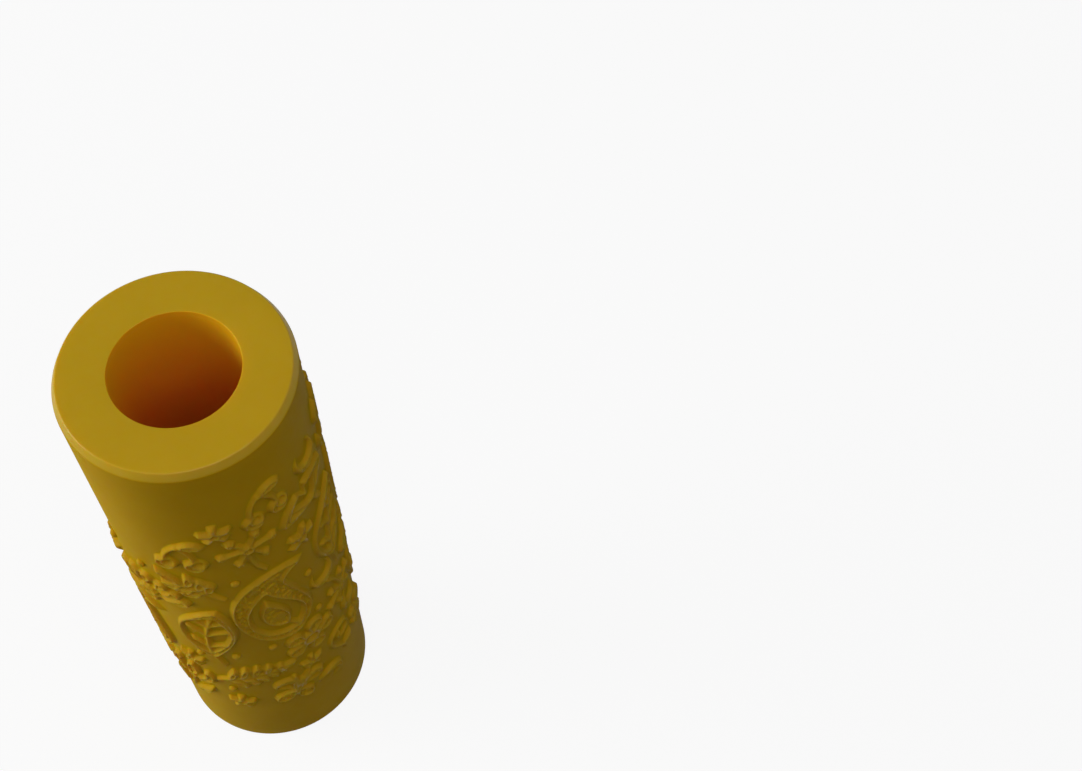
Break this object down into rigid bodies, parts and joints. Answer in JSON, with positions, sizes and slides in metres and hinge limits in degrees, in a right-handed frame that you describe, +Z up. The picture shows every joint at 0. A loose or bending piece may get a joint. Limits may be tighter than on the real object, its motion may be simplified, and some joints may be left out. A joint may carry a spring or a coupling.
{
  "type": "clay texture roller",
  "caption": "Hollow hand roller whose raised garden pattern of leaves, flowers, curls and beads presses a repeating texture into clay.",
  "frame": {"origin": "centre of the lower end's plane, on the roller's axis", "axes": "+Z up along the roller's axis; the pictured side faces about -Y, turned 24 degrees towards +X"},
  "size_m": [0.0336, 0.0336, 0.1],
  "materials": {
    "yellow_plastic": "satin, smooth"
  },
  "bodies": {
    "root": {"butterfly_1": "yellow_plastic", "butterfly_2": "yellow_plastic", "cherries_1": "yellow_plastic", "cherries_2": "yellow_plastic", "cherries_3": "yellow_plastic", "crescent_1": "yellow_plastic", "crescent_2": "yellow_plastic", "crescent_3": "yellow_plastic", "crescent_4": "yellow_plastic", "crescent_5": "yellow_plastic", "crescent_6": "yellow_plastic", "daisy_1": "yellow_plastic", "daisy_2": "yellow_plastic", "daisy_3": "yellow_plastic", "daisy_4": "yellow_plastic", "daisy_5": "yellow_plastic", "daisy_6": "yellow_plastic", "dandelion_1": "yellow_plastic", "dandelion_2": "yellow_plastic", "fern_1": "yellow_plastic", "fern_2": "yellow_plastic", "fern_3": "yellow_plastic", "ginkgo_1": "yellow_plastic", "ginkgo_2": "yellow_plastic", "paisley_1": "yellow_plastic", "paisley_2": "yellow_plastic", "paisley_3": "yellow_plastic", "paisley_4": "yellow_plastic", "plume_1": "yellow_plastic", "plume_2": "yellow_plastic", "plume_3": "yellow_plastic", "plume_4": "yellow_plastic", "poppy_pod_1": "yellow_plastic", "roller_tube": "yellow_plastic", "shell_1": "yellow_plastic", "shell_2": "yellow_plastic", "sparkle_1": "yellow_plastic", "sparkle_2": "yellow_plastic", "sparkle_3": "yellow_plastic", "sparkle_4": "yellow_plastic", "sparkle_5": "yellow_plastic", "sparkle_6": "yellow_plastic", "sparkle_7": "yellow_plastic", "sparkle_8": "yellow_plastic", "tendril_1": "yellow_plastic", "tendril_2": "yellow_plastic", "tulip_1": "yellow_plastic", "tulip_2": "yellow_plastic", "tulip_3": "yellow_plastic", "wheat_1": "yellow_plastic", "wheat_2": "yellow_plastic"}
  },
  "joints": []
}
